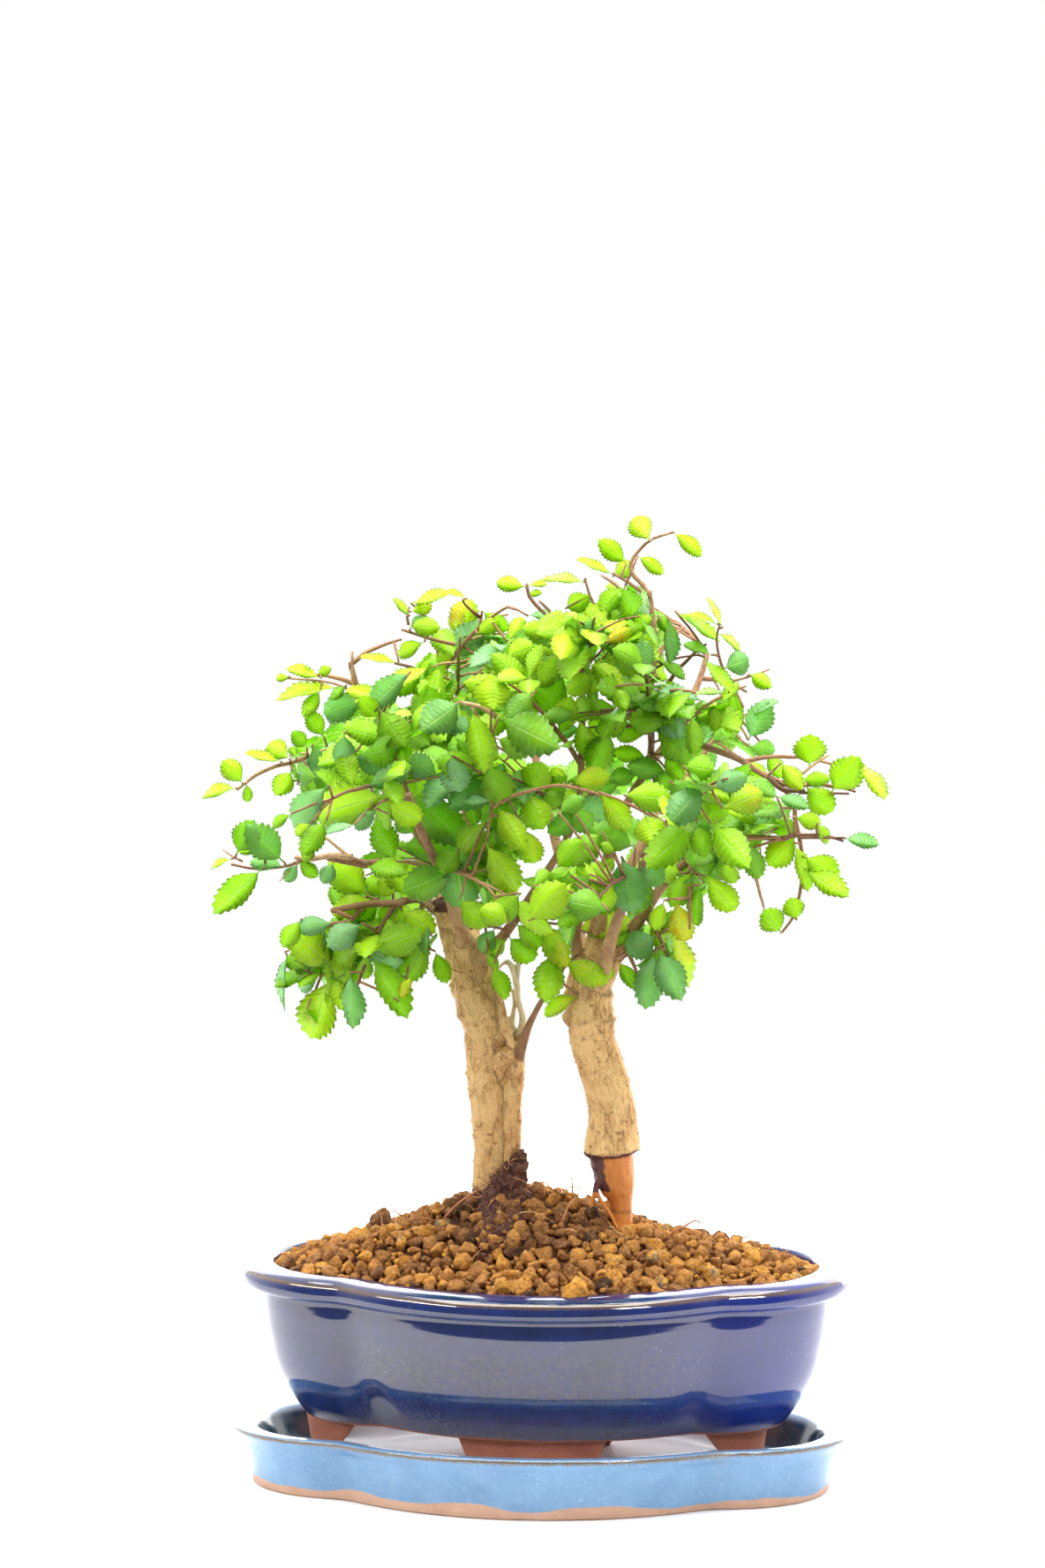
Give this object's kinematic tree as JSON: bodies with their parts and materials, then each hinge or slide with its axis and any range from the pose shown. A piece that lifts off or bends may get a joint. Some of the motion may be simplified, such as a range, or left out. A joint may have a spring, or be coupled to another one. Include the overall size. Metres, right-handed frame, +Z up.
{
  "type": "chinese elm bonsai",
  "caption": "Small twin-trunk bonsai tree with toothed green leaves, rooted in granular soil in a four-lobed dark blue glazed pot on a matching sky-blue saucer.",
  "frame": {"origin": "middle of the saucer's flat underside, the face it stands on", "axes": "+Z up, -Y the front seen in the picture, +X to the viewer's right along the long side of the pot"},
  "size_m": [0.2353, 0.1891, 0.328],
  "materials": {
    "glaze_blue": "deep cobalt gloss glaze, brown where it breaks on the lip, bare terracotta feet",
    "glaze_sky": "mottled sky-blue gloss glaze, brown line at the rim, bare terracotta base band",
    "screen_plastic": "black drain mesh",
    "akadama": "fired clay granules, matt, orange-brown with grey-brown ones",
    "bark": "tan bark with lenticels, cracks and cut scars",
    "foliage": "satin green leaves, lit through, on brown twigs"
  },
  "bodies": {
    "root": {"drain_screen_left": "screen_plastic", "drain_screen_right": "screen_plastic", "left_trunk": "bark", "pot": "glaze_blue", "right_trunk": "bark", "saucer": "glaze_sky", "shoot_back_centre": "foliage", "shoot_back_high": "foliage", "shoot_back_left": "foliage", "shoot_back_low_left": "foliage", "shoot_back_low_right": "foliage", "shoot_back_right": "foliage", "shoot_back_top": "foliage", "shoot_crown_back": "foliage", "shoot_crown_centre": "foliage", "shoot_crown_front": "foliage", "shoot_crown_left": "foliage", "shoot_crown_right": "foliage", "shoot_crown_stub": "foliage", "shoot_far_left": "foliage", "shoot_front_centre": "foliage", "shoot_front_left": "foliage", "shoot_front_low_right": "foliage", "shoot_front_mid": "foliage", "shoot_front_right": "foliage", "shoot_front_upper_left": "foliage", "shoot_hang_right": "foliage", "shoot_hang_right_back": "foliage", "shoot_inner_left": "foliage", "shoot_inner_mid": "foliage", "shoot_inner_right": "foliage", "shoot_left_back": "foliage", "shoot_left_heart": "foliage", "shoot_left_tail": "foliage", "shoot_low_centre": "foliage", "shoot_low_centre_right": "foliage", "shoot_low_far_left": "foliage", "shoot_low_left": "foliage", "shoot_low_left_mid": "foliage", "shoot_low_left_reach": "foliage", "shoot_low_right": "foliage", "shoot_low_right_centre": "foliage", "shoot_low_right_mid": "foliage", "shoot_mid_top": "foliage", "shoot_mid_top_right": "foliage", "shoot_right_end": "foliage", "shoot_right_end_up": "foliage", "shoot_right_mid": "foliage", "shoot_right_shoulder": "foliage", "shoot_right_upper": "foliage", "shoot_right_upper_back": "foliage", "shoot_top": "foliage", "shoot_top_left": "foliage", "shoot_top_right": "foliage", "shoot_upper_left": "foliage", "soil": "akadama"}
  },
  "joints": []
}
